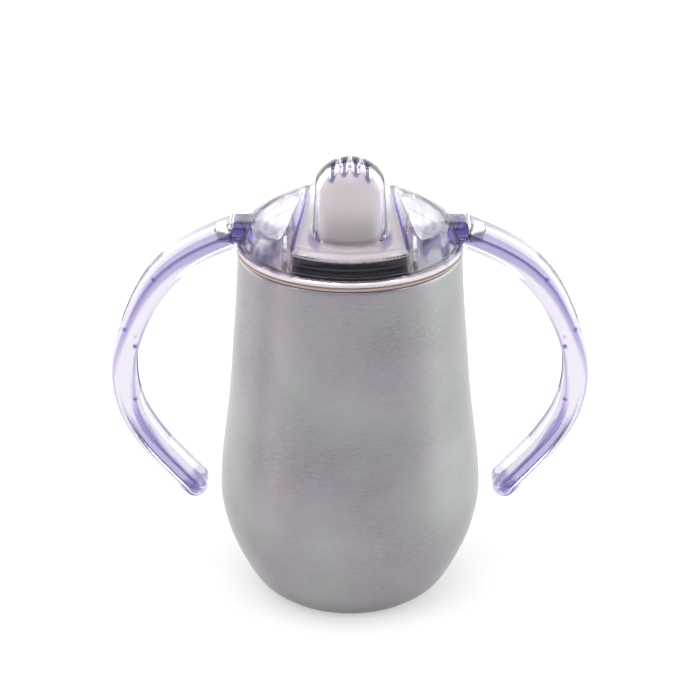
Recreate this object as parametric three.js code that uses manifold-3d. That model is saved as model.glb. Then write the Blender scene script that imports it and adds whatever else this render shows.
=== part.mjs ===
// Two-handled sippy cup: a double-walled steel tumbler with an egg-shaped body, a push-fit clear lid with
// a spout, a silicone seal ring, a silicone spout valve and two clear handles that plug onto the lid.
// Millimetres, +Z up, origin at the centre of the underside. X runs along the two handles and the spout
// is set towards -Y, the side that the child drinks from.
import * as THREE from "three";
import { mergeVertices } from "three/addons/utils/BufferGeometryUtils.js";
import Module from "manifold-3d";

const wasm = await Module();
wasm.setup();

// ---------------------------------------------------------------- driving dimensions
const GAP = 0.3; // clearance between neighbouring pieces
const ROUND = 40; // segments round a large turned piece

// Steel body: radii of the egg at rising heights
const BODY_OUTLINE = [
  [25.7, 0], [29.9, 4], [34.1, 11], [38.05, 20], [40.5, 34],
  [39, 52], [36.35, 76], [34.75, 97], [34, 111],
];
const RIM_Z = 111.8; // top of the steel rim
const RIM_R = 34;
const LIP_R = 32.6; // inner edge of the rolled rim, where the liner meets it
const STEEL = 0.6; // sheet thickness of the shells
const VACUUM = 2.4; // width of the vacuum space between the shells
const MOUTH_R = 31.1; // inside radius of the mouth
const LINER_FLOOR_Z = 6.5; // underside of the liner
const FOOT_BORE_R = 22.5; // opening in the underside of the outer shell
const FOOT_Z = 0.8; // thickness of the folded foot
const VENT_R = 1.5; // hole that the air is drawn out through

// Lid
const FLANGE_R = 34.3; // rim of the lid and of the seal ring
const FLANGE_Z = [113.2, 114.4];
const SKIRT_R = [28, 29.6]; // inner and outer radius of the skirt that plugs into the mouth
const SKIRT_Z = 105.5; // lower end of the skirt
const DOME_TOP_Z = 131;
const DOME_R = 53; // radius of the spherical top
const DOME_WALL = 2.8; // thickness of the spherical top
const SHOULDER_R = 28.6; // where the spherical top turns down into the wall
const CHANNEL_HALF = 16.7; // half width of the channel between the two thick wings
const WING_FLOOR_Z = 114; // underside of the wings
const SLOT_X = [17.9, 19.3]; // slot that parts a rib from the front of each wing
const SLOT_Y = [-30, -16];
const DIMPLE = { x: 22.2, y: -4.2, rx: 7.2, ry: 15, depth: 1.6, tilt: 14 };

// Spout, an oval tube with a domed tip
const SPOUT_Y = -20.1;
const SPOUT_HALF = { wide: 11, deep: 6.9 };
const SPOUT_SIDE_Z = [118, 126, 140.5]; // root, base on the dome, start of the domed tip
const SPOUT_TOP_Z = 148.7;
const SPOUT_WALL = 1.5;
const SPOUT_BORE_TOP_Z = 145.4;
const HOLE_R = 0.6;
const HOLE_ROWS = [
  { y: -18.4, pitch: 2.9, count: 3 },
  { y: -22.4, pitch: 3.2, count: 4 },
];

// Lug on each side of the lid, with the tongue that the handle plugs onto
const LUG = { x: [29.8, 35.7], deep: 10.6, tall: 6.2, z: 118.5 };
const TONGUE = { x: [35, 39.6], deep: 5, tall: 2.4, z: 117 };

// Handle: a flat bar bent to a C, with a full-round tip
const HANDLE_LINE = [
  [33.4, 118.1], [46, 112.3], [55.2, 105.4], [62.8, 95.2], [68.3, 81.8],
  [69.6, 70.5], [67.4, 59.2], [61.3, 48.4], [54, 39.6], [48.6, 33.6],
];
const HANDLE = { thick: 7.6, deep: 11, corner: 2.2, rootX: 34.8 };
const POCKET = { deep: 0.5, wide: 6 }; // shallow grip pockets in the bar
const OUTER_POCKET = [0.26, 0.43]; // stretch of the bar, as fractions of its length
const INNER_POCKET = [0.48, 0.66];

// Valve
const VALVE = { plate: 1.4, halfWidth: 16.3, reach: 27.6, lipZ: 118.7, lip: 1.4, wall: 1.6 };

// ---------------------------------------------------------------- colours
const steel = { color: 0xb4b2b7, roughness: 0.32, metalness: 1 };
const clear = { color: 0xcfc8e6, roughness: 0.06, metalness: 0 };
const frosted = { color: 0xe6e1e6, roughness: 0.5, metalness: 0 };
const blush = { color: 0xe2cfd2, roughness: 0.5, metalness: 0 };

// ---------------------------------------------------------------- helpers
function solid(geometry) {
  const bare = geometry.clone();
  bare.deleteAttribute("normal");
  bare.deleteAttribute("uv");
  const merged = mergeVertices(bare, 1e-4);
  const triVerts = new Uint32Array(merged.index.array);
  return new wasm.Manifold(
    new wasm.Mesh({ numProp: 3, vertProperties: merged.attributes.position.array, triVerts }),
  );
}

function geometryOf(manifold) {
  const mesh = manifold.getMesh();
  const geometry = new THREE.BufferGeometry();
  geometry.setAttribute("position", new THREE.BufferAttribute(mesh.vertProperties, 3));
  geometry.setIndex(new THREE.BufferAttribute(mesh.triVerts, 1));
  geometry.computeVertexNormals();
  return geometry;
}

// Solid of revolution about Z; the profile is [radius, height] pairs, anticlockwise seen with +Z up.
function turned(profile, segments = ROUND) {
  const points = profile.map(([r, z]) => new THREE.Vector2(r, z));
  return new THREE.LatheGeometry(points, segments).rotateX(Math.PI / 2);
}

function ring(profile, segments = ROUND) {
  return turned([...profile, profile[0]], segments);
}

function box([x0, x1], [y0, y1], [z0, z1]) {
  const geometry = new THREE.BoxGeometry(x1 - x0, y1 - y0, z1 - z0);
  return geometry.translate((x0 + x1) / 2, (y0 + y1) / 2, (z0 + z1) / 2);
}

function mirroredSpan([from, to], side) {
  return side < 0 ? [-to, -from] : [from, to];
}

function spline(points, steps) {
  const curve = new THREE.SplineCurve(points.map(([r, z]) => new THREE.Vector2(r, z)));
  return curve.getPoints(steps).map((p) => [p.x, p.y]);
}

// The same outline moved sideways by a distance, to the left of its direction.
function inset(points, distance) {
  return points.map(([r, z], i) => {
    const [r0, z0] = points[Math.max(i - 1, 0)];
    const [r1, z1] = points[Math.min(i + 1, points.length - 1)];
    const length = Math.hypot(r1 - r0, z1 - z0);
    return [r - ((z1 - z0) / length) * distance, z + ((r1 - r0) / length) * distance];
  });
}

// Points of the lid's spherical top, from a radius inwards to the axis, lowered by a depth.
function capPoints(fromRadius, lowered, steps = 6) {
  const sphere = DOME_R - lowered;
  const centreZ = DOME_TOP_Z - DOME_R;
  const start = Math.asin(fromRadius / sphere);
  return Array.from({ length: steps + 1 }, (_, i) => {
    const angle = start * (1 - i / steps);
    return [sphere * Math.sin(angle), centreZ + sphere * Math.cos(angle)];
  });
}

function part(name, geometry, finish) {
  const mesh = new THREE.Mesh(geometry, new THREE.MeshStandardMaterial(finish));
  mesh.name = name;
  return mesh;
}

// ---------------------------------------------------------------- steel body
function outerShell() {
  const outside = spline(BODY_OUTLINE, 16);
  const inside = inset(outside, STEEL).slice(1).reverse();
  const lip = [
    [RIM_R - 0.2, RIM_Z - 0.3], [RIM_R - 0.6, RIM_Z], [LIP_R, RIM_Z], [LIP_R, RIM_Z - STEEL],
  ];
  const foot = [[25.6, FOOT_Z], [FOOT_BORE_R, FOOT_Z], [FOOT_BORE_R, 0]];
  return ring([...outside, ...lip, ...inside, ...foot]);
}

function innerLiner() {
  const away = STEEL + VACUUM;
  const floor = [[0, LINER_FLOOR_Z], [14, LINER_FLOOR_Z], [23.5, 7.6], [31.3, 13.2]];
  const wall = spline(BODY_OUTLINE.slice(3, -1), 8).map(([r, z]) => [r - away, z]);
  const outside = [...floor, ...wall, [MOUTH_R + STEEL, 103]];
  const inside = inset(outside, STEEL).reverse();
  inside[inside.length - 1][0] = 0;
  const lip = [
    [MOUTH_R + STEEL, RIM_Z - 1], [LIP_R - GAP, RIM_Z - STEEL], [LIP_R - GAP, RIM_Z - 0.1],
    [MOUTH_R, RIM_Z - 0.1], [MOUTH_R, 103],
  ];
  return turned([...outside, ...lip, ...inside]);
}

// Disc that closes the vacuum space; its raised middle has the vent hole.
function basePlate() {
  return ring([
    [VENT_R, 2.4], [6, 2.4], [7.5, 1.1], [25, 1.1], [25, 1.7], [7.9, 1.7], [6.4, 3], [VENT_R, 3],
  ]);
}

// Cosmetic disc let into the foot, just clear of the ground.
function baseCover() {
  const edge = FOOT_BORE_R - GAP;
  return turned([[0, 0.2], [edge - 0.3, 0.2], [edge, 0.4], [edge, FOOT_Z], [0, FOOT_Z]]);
}

// Bead that closes the vent hole from below.
function vacuumSeal() {
  return turned([[0, 1.2], [2.6, 1.3], [3.4, 1.7], [2.6, 2.1], [0, 2.1]], 20);
}

function getter() {
  return new THREE.CylinderGeometry(4, 4, 1.2, 24).rotateX(Math.PI / 2).translate(13, 0, 2.7);
}

// ---------------------------------------------------------------- seal ring
function lidGasket() {
  const inner = SKIRT_R[1] + GAP;
  const lipZ = [RIM_Z + GAP, FLANGE_Z[0] - GAP];
  const bead = MOUTH_R - GAP;
  const beads = [108, 110.4].flatMap((z) => [[30.4, z - 0.6], [bead, z], [30.4, z + 0.6]]);
  return ring([
    [inner, 106.6], [30.4, 106.6], ...beads, [30.4, lipZ[0]],
    [FLANGE_R - 0.3, lipZ[0]], [FLANGE_R, (lipZ[0] + lipZ[1]) / 2], [FLANGE_R - 0.3, lipZ[1]],
    [inner, lipZ[1]],
  ]);
}

// ---------------------------------------------------------------- lid
function lidBlank() {
  return solid(turned([
    [0, SKIRT_Z], [30.1, SKIRT_Z], [30.3, 106.2], [SKIRT_R[1], 106.2],
    [SKIRT_R[1], FLANGE_Z[0]], [FLANGE_R - 0.3, FLANGE_Z[0]], [FLANGE_R, 113.5], [FLANGE_R, 114.1],
    [FLANGE_R - 0.3, FLANGE_Z[1]], [33, 114.6], [32.2, 116.6], [31.4, 119], [30.6, 120.8],
    [29.8, 121.8], ...capPoints(SHOULDER_R, 0),
  ]));
}

// Hollow under the dome, open at the skirt. Above the wings' underside it is only the channel between
// the wings and the two slots that part a rib from each.
function lidHollow() {
  const hollow = solid(turned([
    [0, SKIRT_Z - 1], [SKIRT_R[0], SKIRT_Z - 1], [SKIRT_R[0], 112], [29.4, 114.6],
    [29.2, 118.4], [28.6, 119.2], ...capPoints(28, DOME_WALL),
  ]));
  const upper = [WING_FLOOR_Z - 0.5, DOME_TOP_Z];
  const channel = solid(box([-CHANNEL_HALF, CHANNEL_HALF], [-30, 30], upper));
  const slots = [-1, 1].map((side) => solid(box(mirroredSpan(SLOT_X, side), SLOT_Y, upper)));
  const lower = solid(box([-31, 31], [-31, 31], [SKIRT_Z - 2, WING_FLOOR_Z]));
  return hollow.intersect([channel, ...slots].reduce((all, space) => all.add(space), lower));
}

// Oval column with a domed end; inward shrinks it evenly.
function ovalColumn(fromZ, topZ, inward) {
  const wide = SPOUT_HALF.wide - inward;
  const deep = SPOUT_HALF.deep - inward;
  const [, baseZ, tipZ] = SPOUT_SIDE_Z;
  const tipWide = wide - 0.9;
  const startZ = tipZ - inward;
  const dome = Array.from({ length: 7 }, (_, i) => {
    const angle = (i / 6) * (Math.PI / 2);
    return [tipWide * Math.cos(angle), startZ + (topZ - startZ) * Math.sin(angle)];
  });
  const outline = [[0, fromZ], [wide, fromZ], [wide, baseZ], ...dome];
  return turned(outline, 24).scale(1, deep / wide, 1).translate(0, SPOUT_Y, 0);
}

function spoutHoles() {
  return HOLE_ROWS.flatMap(({ y, pitch, count }) => {
    return Array.from({ length: count }, (_, i) => {
      const x = (i - (count - 1) / 2) * pitch;
      const drill = new THREE.CylinderGeometry(HOLE_R, HOLE_R, 12, 8);
      return solid(drill.rotateX(Math.PI / 2).translate(x, y, SPOUT_BORE_TOP_Z + 1));
    });
  });
}

// Shallow oval scoop in each wing of the dome
function dimple(side) {
  const { x, y, rx, ry, depth, tilt } = DIMPLE;
  const surfaceZ = DOME_TOP_Z - DOME_R + Math.sqrt(DOME_R ** 2 - x ** 2 - y ** 2);
  const lean = Math.asin(x / DOME_R);
  const scoop = new THREE.SphereGeometry(1, 18, 10).scale(rx, ry, depth);
  scoop.rotateZ(THREE.MathUtils.degToRad(side * tilt)).rotateY(side * lean);
  return solid(scoop.translate(side * x, y, surfaceZ));
}

// Block on the side of the lid, grown by a clearance on every face but the one towards the axis
function sideBlock({ x: [from, to], deep, tall, z }, side, slack) {
  const [wide, high] = [deep / 2 + slack, tall / 2 + slack];
  return solid(box(mirroredSpan([from, to + slack], side), [-wide, wide], [z - high, z + high]));
}

function lug(side, slack = 0) {
  return sideBlock(LUG, side, slack).add(sideBlock(TONGUE, side, slack));
}

function lidShell() {
  const outside = [solid(ovalColumn(SPOUT_SIDE_Z[0], SPOUT_TOP_Z, 0)), lug(-1), lug(1)];
  const filled = outside.reduce((whole, piece) => whole.add(piece), lidBlank());
  const bore = solid(ovalColumn(SPOUT_SIDE_Z[0] - 4, SPOUT_BORE_TOP_Z, SPOUT_WALL));
  const cuts = [lidHollow(), bore, dimple(-1), dimple(1), ...spoutHoles()];
  return geometryOf(cuts.reduce((whole, cut) => whole.subtract(cut), filled));
}

// ---------------------------------------------------------------- spout valve
// Saddle plate under the dome, a lip down its front edge and a hollow plug up the spout.
function spoutValve() {
  const top = DOME_WALL + GAP;
  const cap = capPoints(VALVE.reach, top);
  const underside = capPoints(VALVE.reach, top + VALVE.plate).reverse();
  const plate = solid(turned([...underside, ...cap]));
  const lipInner = VALVE.reach - VALVE.lip;
  const lipTop = underside[underside.length - 1][1] + 0.4;
  const lip = solid(ring([
    [lipInner, VALVE.lipZ], [VALVE.reach, VALVE.lipZ], [VALVE.reach, lipTop], [lipInner, lipTop + 0.3],
  ]));
  const width = [-VALVE.halfWidth, VALVE.halfWidth];
  const front = lip.intersect(solid(box(width, [-30, -15], [110, DOME_TOP_Z])));
  const saddle = plate.intersect(solid(box(width, [-30, 30], [110, DOME_TOP_Z])));
  const plug = solid(ovalColumn(122, SPOUT_BORE_TOP_Z - GAP, SPOUT_WALL + GAP));
  const core = solid(ovalColumn(116, SPOUT_BORE_TOP_Z - GAP - VALVE.wall, SPOUT_WALL + GAP + VALVE.wall));
  const slit = solid(box([-3, 3], [SPOUT_Y - 0.2, SPOUT_Y + 0.2], [136, 146]));
  return geometryOf(saddle.add(front).add(plug).subtract(core).subtract(slit));
}

// ---------------------------------------------------------------- handles
function roundedSection(wide, tall, corner) {
  const [x, y] = [wide / 2, tall / 2];
  const shape = new THREE.Shape();
  shape.moveTo(-x + corner, -y).lineTo(x - corner, -y);
  shape.absarc(x - corner, -y + corner, corner, -Math.PI / 2, 0, false);
  shape.lineTo(x, y - corner).absarc(x - corner, y - corner, corner, 0, Math.PI / 2, false);
  shape.lineTo(-x + corner, y).absarc(-x + corner, y - corner, corner, Math.PI / 2, Math.PI, false);
  shape.lineTo(-x, -y + corner).absarc(-x + corner, -y + corner, corner, Math.PI, 1.5 * Math.PI, false);
  return shape;
}

function sweep(shape, path, steps) {
  return new THREE.ExtrudeGeometry(shape, { extrudePath: path, steps, curveSegments: 2 });
}

// Cutter for a shallow pocket along part of the bar: outward is 1 for the outer face, -1 for the inner.
function pocketCutter(line, [from, to], outward, side) {
  const away = outward * (HANDLE.thick / 2 - POCKET.deep + 1);
  const points = Array.from({ length: 11 }, (_, i) => {
    const at = from + ((to - from) * i) / 10;
    const tangent = line.getTangentAt(at);
    const offset = new THREE.Vector3(-tangent.z * side, 0, tangent.x * side).multiplyScalar(-away);
    return line.getPointAt(at).add(offset);
  });
  const floor = new THREE.Shape();
  floor.moveTo(-POCKET.wide / 2, -1).lineTo(POCKET.wide / 2, -1);
  floor.lineTo(POCKET.wide / 2, 1).lineTo(-POCKET.wide / 2, 1);
  return solid(sweep(floor, new THREE.CatmullRomCurve3(points), 14));
}

function handle(side) {
  const points = HANDLE_LINE.map(([x, z]) => new THREE.Vector3(side * x, 0, z));
  const line = new THREE.CatmullRomCurve3(points);
  const bar = solid(sweep(roundedSection(HANDLE.deep, HANDLE.thick, HANDLE.corner), line, 26));
  const [half, radius, bevel] = [HANDLE.deep / 2, HANDLE.thick / 2, HANDLE.corner * 0.6];
  const tip = new THREE.LatheGeometry([
    [0, -half], [radius - bevel, -half], [radius, -half + bevel],
    [radius, half - bevel], [radius - bevel, half], [0, half],
  ].map(([r, y]) => new THREE.Vector2(r, y)), 16);
  const end = points[points.length - 1];
  const inboard = box(mirroredSpan([30, HANDLE.rootX], side), [-8, 8], [108, 124]);
  const cuts = [
    solid(inboard), lug(side, GAP),
    pocketCutter(line, OUTER_POCKET, 1, side), pocketCutter(line, INNER_POCKET, -1, side),
  ];
  const whole = bar.add(solid(tip.translate(end.x, 0, end.z)));
  return geometryOf(cuts.reduce((rest, cut) => rest.subtract(cut), whole));
}

// ---------------------------------------------------------------- assembly
const body = new THREE.Group();
body.add(
  part("outer_shell", outerShell(), steel),
  part("inner_liner", innerLiner(), steel),
  part("base_plate", basePlate(), steel),
  part("base_cover", baseCover(), steel),
  part("vacuum_seal", vacuumSeal(), steel),
  part("getter", getter(), steel),
);

const lid = new THREE.Group();
lid.add(
  part("lid_gasket", lidGasket(), blush),
  part("lid_shell", lidShell(), clear),
  part("spout_valve", spoutValve(), frosted),
  part("handle_left", handle(-1), clear),
  part("handle_right", handle(1), clear),
);

const sippyCup = new THREE.Group();
sippyCup.add(body, lid);

export default sippyCup;
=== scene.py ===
"""Two-handled sippy cup: the looks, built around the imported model.

The frame gives metres. Shapes are worked out in millimetres and scaled when a mesh is made.
Turned steel and silicone rings are lathed. The moulded lid, valve and handles are signed distance
fields, meshed where the field is zero, so that every edge is rounded as a moulded edge is.
"""

import math

import bpy
import numpy as np
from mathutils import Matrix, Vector


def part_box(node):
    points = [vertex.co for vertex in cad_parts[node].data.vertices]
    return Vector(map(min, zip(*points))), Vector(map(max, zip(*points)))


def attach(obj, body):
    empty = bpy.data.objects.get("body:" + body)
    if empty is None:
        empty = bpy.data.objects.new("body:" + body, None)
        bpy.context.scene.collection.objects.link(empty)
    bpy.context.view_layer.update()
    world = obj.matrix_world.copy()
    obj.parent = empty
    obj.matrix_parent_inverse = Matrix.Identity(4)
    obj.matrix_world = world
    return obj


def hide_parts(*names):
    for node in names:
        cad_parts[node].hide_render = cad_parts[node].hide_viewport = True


MM = 0.001

# Tones of the clear plastic, from plain to the deepest violet of its painted shade, and where it is
# matt.
LID_TONE = (1.0, 0.958, 0.965)
HANDLE_TONE = (0.955, 0.93, 0.95)
HALF_VIOLET = (0.43, 0.39, 0.66)
EDGE_VIOLET = (0.045, 0.025, 0.22)
FROST_TONE = (0.86, 0.79, 0.81)
FROST_CLEARNESS = 0.15
DEPTH_TONE = (0.66, 0.56, 0.82)  # what the plastic turns light to as it goes deeper

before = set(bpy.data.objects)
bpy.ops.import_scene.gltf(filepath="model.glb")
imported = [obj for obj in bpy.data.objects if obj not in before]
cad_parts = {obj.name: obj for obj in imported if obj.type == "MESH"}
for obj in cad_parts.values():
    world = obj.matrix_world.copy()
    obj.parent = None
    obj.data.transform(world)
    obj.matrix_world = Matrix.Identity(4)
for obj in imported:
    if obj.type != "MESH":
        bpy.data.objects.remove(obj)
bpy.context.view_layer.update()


def box_mm(node):
    """Lowest and highest corner of a CAD node, in millimetres."""
    low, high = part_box(node)
    return np.array(low) / MM, np.array(high) / MM


# ---------------------------------------------------------------- sizes from the frame, in millimetres
SHELL_HIGH = box_mm("outer_shell")[1]
LINER_LOW = box_mm("inner_liner")[0]
GASKET_LOW, GASKET_HIGH = box_mm("lid_gasket")
LID_LOW, LID_HIGH = box_mm("lid_shell")
VALVE_LOW, VALVE_HIGH = box_mm("spout_valve")
HANDLE_LOW, HANDLE_HIGH = box_mm("handle_right")
COVER_LOW, COVER_HIGH = box_mm("base_cover")

RIM_Z = SHELL_HIGH[2]
FLANGE_R = LID_HIGH[1]
SKIRT_Z = LID_LOW[2]
SPOUT_TOP_Z = LID_HIGH[2]
FLANGE_Z = GASKET_HIGH[2] + 0.3
GASKET_LIP_Z = RIM_Z + 0.2

# ---------------------------------------------------------------- camera, floor and light
CAMERA_DISTANCE = 0.75
CAMERA_ELEVATION = math.radians(24.13)
CAMERA_AIM = Vector((0, 0, 0.0785))
CAMERA_LENS = 125.1
FLOOR_GLOW = 0.45
ROOM_DARK = (0.25, 0.22, 0.38)
ROOM_TONES = [  # degrees round the room from the viewer, then the brightness in red, green and blue
    (-180, 1.5, 1.5, 1.5), (-150, 3.4, 3.5, 3.4), (-110, 2.4, 2.5, 2.4), (-88, 0.4, 0.4, 0.4),
    (-74, 2.3, 1.6, 2.1), (-66, 1.4, 1.0, 1.3), (-54, *ROOM_DARK), (56, *ROOM_DARK),
    (70, 1.2, 1.3, 1.22), (88, 3.0, 3.4, 3.1), (145, 2.8, 3.2, 2.9), (180, 1.5, 1.52, 1.5),
]
CEILING_RISE = (0.35, 0.7)  # sine of the elevation where the walls start and finish turning white


def add_object(name, data):
    """New object in the scene, at the origin."""
    made = bpy.data.objects.new(name, data)
    bpy.context.scene.collection.objects.link(made)
    return made


def make_camera():
    """Camera in front of the cup, a little above it, with a long lens."""
    camera = add_object("camera", bpy.data.cameras.new("camera"))
    back = Vector((0, -math.cos(CAMERA_ELEVATION), math.sin(CAMERA_ELEVATION)))
    camera.location = CAMERA_AIM + back * CAMERA_DISTANCE
    camera.rotation_mode = "QUATERNION"
    camera.rotation_quaternion = (-back).to_track_quat("-Z", "Y")
    camera.data.sensor_width = 36
    camera.data.lens = CAMERA_LENS
    camera.data.clip_start = 0.01
    bpy.context.scene.camera = camera


def new_material(name):
    """Material, its node tree and its Principled shader."""
    material = bpy.data.materials.new(name)
    material.use_nodes = True
    tree = material.node_tree
    return material, tree, tree.nodes["Principled BSDF"]


def link(tree, source, target):
    """Joins a node's output to another's input."""
    tree.links.new(source, target)


def node(tree, kind, **values):
    """New node with the named inputs set; an underscore in a name stands for a space."""
    made = tree.nodes.new(kind)
    for key, value in values.items():
        made.inputs[key.replace("_", " ")].default_value = value
    return made


def maths(tree, operation, a, b):
    """Output of a maths node that works on two other outputs."""
    made = node(tree, "ShaderNodeMath")
    made.operation = operation
    link(tree, a, made.inputs[0])
    link(tree, b, made.inputs[1])
    return made.outputs[0]


def map_range(tree, value, source, target=(0, 1), smooth=False):
    """Value carried from one range to another and held at the ends."""
    made = node(tree, "ShaderNodeMapRange", From_Min=source[0], From_Max=source[1],
                To_Min=target[0], To_Max=target[1])
    if smooth:
        made.interpolation_type = "SMOOTHSTEP"
    link(tree, value, made.inputs["Value"])
    return made.outputs[0]


def ramp_node(tree, factor, stops):
    """Colour ramp through (position, colour) stops."""
    made = node(tree, "ShaderNodeValToRGB")
    marks = made.color_ramp.elements
    while len(marks) < len(stops):
        marks.new(0.5)
    for mark, (position, tone) in zip(marks, stops):
        mark.position = position
        mark.color = (*tone, 1)
    link(tree, factor, made.inputs["Fac"])
    return made.outputs["Color"]


def blend_colours(tree, factor, low, high):
    """Colour that runs from low to high; either may be a constant or another node's output."""
    made = node(tree, "ShaderNodeMix")
    made.data_type = "RGBA"
    link(tree, factor, made.inputs["Factor"])
    for value, target in ((low, made.inputs["A"]), (high, made.inputs["B"])):
        if isinstance(value, tuple):
            target.default_value = (*value, 1)
        else:
            link(tree, value, target)
    return made.outputs["Result"]


def split_axes(tree, vector):
    """The x, y and z of a vector output."""
    made = node(tree, "ShaderNodeSeparateXYZ")
    link(tree, vector, made.inputs[0])
    return made.outputs


def make_floor():
    """Pale floor that glows a little, so that it stays white right up to the cup."""
    half = 3.0
    mesh = bpy.data.meshes.new("floor")
    corners = [(-half, -half, 0), (half, -half, 0), (half, half, 0), (-half, half, 0)]
    mesh.from_pydata(corners, [], [(0, 1, 2, 3)])
    floor = add_object("floor", mesh)
    material, _, shader = new_material("pale_floor")
    shader.inputs["Base Color"].default_value = (0.5, 0.5, 0.5, 1)
    shader.inputs["Roughness"].default_value = 0.9
    shader.inputs["Specular IOR Level"].default_value = 0
    shader.inputs["Emission Color"].default_value = (1, 1, 1, 1)
    shader.inputs["Emission Strength"].default_value = FLOOR_GLOW
    mesh.materials.append(material)


def make_backdrop():
    """Plain white wall far behind everything; it closes the view and gives no light to the object."""
    radius, height, sides = 2.9, 4.0, 64
    angles = [2 * math.pi * i / sides for i in range(sides)]
    corners = [(radius * math.cos(a), radius * math.sin(a), z) for z in (0, height) for a in angles]
    walls = [(i, (i + 1) % sides, sides + (i + 1) % sides, sides + i) for i in range(sides)]
    mesh = bpy.data.meshes.new("backdrop")
    mesh.from_pydata(corners, [], walls)
    backdrop = add_object("backdrop", mesh)
    material, _, shader = new_material("white_wall")
    shader.inputs["Base Color"].default_value = (0, 0, 0, 1)
    shader.inputs["Specular IOR Level"].default_value = 0
    shader.inputs["Emission Color"].default_value = (1, 1, 1, 1)
    shader.inputs["Emission Strength"].default_value = 1
    mesh.materials.append(material)
    backdrop.visible_diffuse = False
    backdrop.visible_glossy = False
    backdrop.visible_transmission = False
    backdrop.visible_shadow = False


def area_light(name, place, width, height, power):
    """Rectangular lamp that faces the cup."""
    light = bpy.data.lights.new(name, "AREA")
    light.shape = "RECTANGLE"
    light.size = width
    light.size_y = height
    light.energy = power
    made = add_object(name, light)
    made.location = place
    made.rotation_mode = "QUATERNION"
    made.rotation_quaternion = (CAMERA_AIM - made.location).to_track_quat("-Z", "Y")


def room_tone(tree, angle):
    """Brightness round the horizon: dark where the viewer stands, with a bright panel on each side."""
    stops = [((azimuth + 180) / 360, tone) for azimuth, *tone in ROOM_TONES]
    return ramp_node(tree, map_range(tree, angle, (-math.pi, math.pi)), stops)


def make_light():
    """A white room, dark on the viewer's side, with a soft lamp overhead and a strip each side."""
    world = bpy.data.worlds.new("studio")
    world.use_nodes = True
    bpy.context.scene.world = world
    tree = world.node_tree
    x, y, z = split_axes(tree, node(tree, "ShaderNodeTexCoord").outputs["Generated"])
    toward = node(tree, "ShaderNodeMath")
    toward.operation = "MULTIPLY"
    toward.inputs[1].default_value = -1
    link(tree, y, toward.inputs[0])
    rise = map_range(tree, z, CEILING_RISE, smooth=True)
    room = room_tone(tree, maths(tree, "ARCTAN2", x, toward.outputs[0]))
    link(tree, blend_colours(tree, rise, room, (1, 1, 1)), tree.nodes["Background"].inputs["Color"])
    area_light("overhead", Vector((-0.2, -0.5, 1.2)), width=1.0, height=1.0, power=6.2)
    for side in (-1, 1):
        place = Vector((0.72 * side, -0.42, 0.75))
        area_light(f"strip_{side}", place, width=0.10, height=0.45, power=0.9)
    scene = bpy.context.scene
    scene.view_settings.view_transform = "Standard"
    scene.cycles.max_bounces = 24
    scene.cycles.transmission_bounces = 24


# ---------------------------------------------------------------- distance fields, in millimetres
def smooth_union(a, b, blend):
    """Two solids joined, with a fillet about blend wide."""
    mix = np.clip(0.5 + 0.5 * (b - a) / blend, 0, 1)
    return b * (1 - mix) + a * mix - blend * mix * (1 - mix)


def smooth_cut(solid, cutter, blend):
    """A solid with another cut out of it, and the cut's edge rounded."""
    return -smooth_union(-solid, cutter, blend)


def outline_distance(r, z, points):
    """Signed distance from (r, z) to a closed outline, negative inside."""
    best = np.full(np.shape(r), 1e9)
    inside = np.zeros(np.shape(r), bool)
    for (r0, z0), (r1, z1) in zip(points, points[1:] + points[:1]):
        dr, dz = r1 - r0, z1 - z0
        along = np.clip(((r - r0) * dr + (z - z0) * dz) / (dr * dr + dz * dz), 0, 1)
        best = np.minimum(best, (r - r0 - along * dr) ** 2 + (z - z0 - along * dz) ** 2)
        crosses = (z0 > z) != (z1 > z)
        if dz:
            inside ^= crosses & (r < r0 + (z - z0) * dr / dz)
    return np.sqrt(best) * np.where(inside, -1, 1)


def block_distance(x, y, z, centre, half, corner):
    """Signed distance to a box with rounded corners."""
    parts = [np.abs(p - c) - h + corner for p, c, h in zip((x, y, z), centre, half)]
    outside = np.sqrt(sum(np.maximum(p, 0) ** 2 for p in parts))
    return outside + np.minimum(np.maximum.reduce(parts), 0) - corner


def route_distance(x, z, points):
    """Distance to a polyline in the XZ plane, and how far along it the nearest point lies."""
    best = np.full(np.shape(x), 1e9)
    travel = np.zeros(np.shape(x))
    start = 0.0
    for (x0, z0), (x1, z1) in zip(points[:-1], points[1:]):
        dx, dz = x1 - x0, z1 - z0
        length = math.hypot(dx, dz)
        along = np.clip(((x - x0) * dx + (z - z0) * dz) / length**2, 0, 1)
        away = (x - x0 - along * dx) ** 2 + (z - z0 - along * dz) ** 2
        nearer = away < best
        best = np.where(nearer, away, best)
        travel = np.where(nearer, start + along * length, travel)
        start += length
    return np.sqrt(best), travel


def smooth_route(points, steps):
    """Catmull-Rom curve through given points, as a list of evenly parametrised points."""
    ends = [2 * np.array(points[0]) - points[1], 2 * np.array(points[-1]) - points[-2]]
    knots = [ends[0], *map(np.array, points), ends[1]]
    route = []
    for a, b, c, d in zip(knots, knots[1:], knots[2:], knots[3:]):
        for t in np.linspace(0, 1, steps, endpoint=False):
            curve = 2 * b + (c - a) * t + (2 * a - 5 * b + 4 * c - d) * t**2
            route.append(tuple((curve + (3 * b - a - 3 * c + d) * t**3) / 2))
    route.append(tuple(knots[-2]))
    return route


def smooth_loop(points, steps):
    """Closed Catmull-Rom curve through given points."""
    around = points[-1:] + points + points[:2]
    return smooth_route(around, steps)[steps:-steps - 1]


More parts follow.
